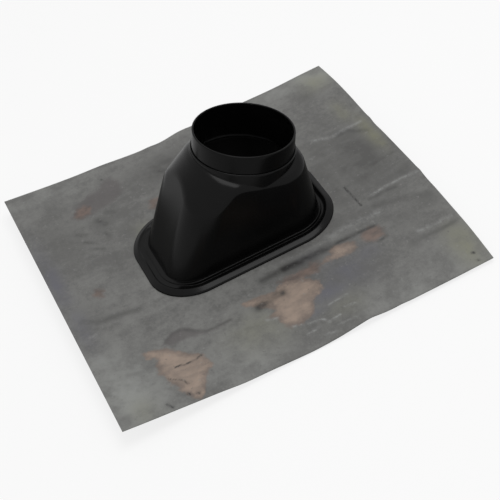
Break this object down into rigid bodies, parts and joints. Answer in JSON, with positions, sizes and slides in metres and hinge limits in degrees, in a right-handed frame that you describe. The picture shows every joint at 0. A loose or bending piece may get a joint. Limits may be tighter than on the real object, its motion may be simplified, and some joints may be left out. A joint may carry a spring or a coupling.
{
  "type": "flue roof tile",
  "caption": "Square lead flashing sheet with a black moulded hood and a leaning round collar, which weathers a flue pipe where it passes through a pitched roof",
  "frame": {"origin": "on the floor under the middle of the square sheet", "axes": "+Y up the roof slope, +X across the slope, +Z out of the roof"},
  "size_m": [0.5, 0.5, 0.176],
  "materials": {
    "lead": null,
    "frame_plastic": "black moulded plastic, fine satin",
    "hood_plastic": "black moulded plastic, soft gloss",
    "collar_plastic": "black moulded plastic, soft gloss"
  },
  "bodies": {
    "root": {"lead_sheet": "lead", "clamp_frame": "frame_plastic", "hood": "hood_plastic", "collar": "collar_plastic"}
  },
  "joints": []
}
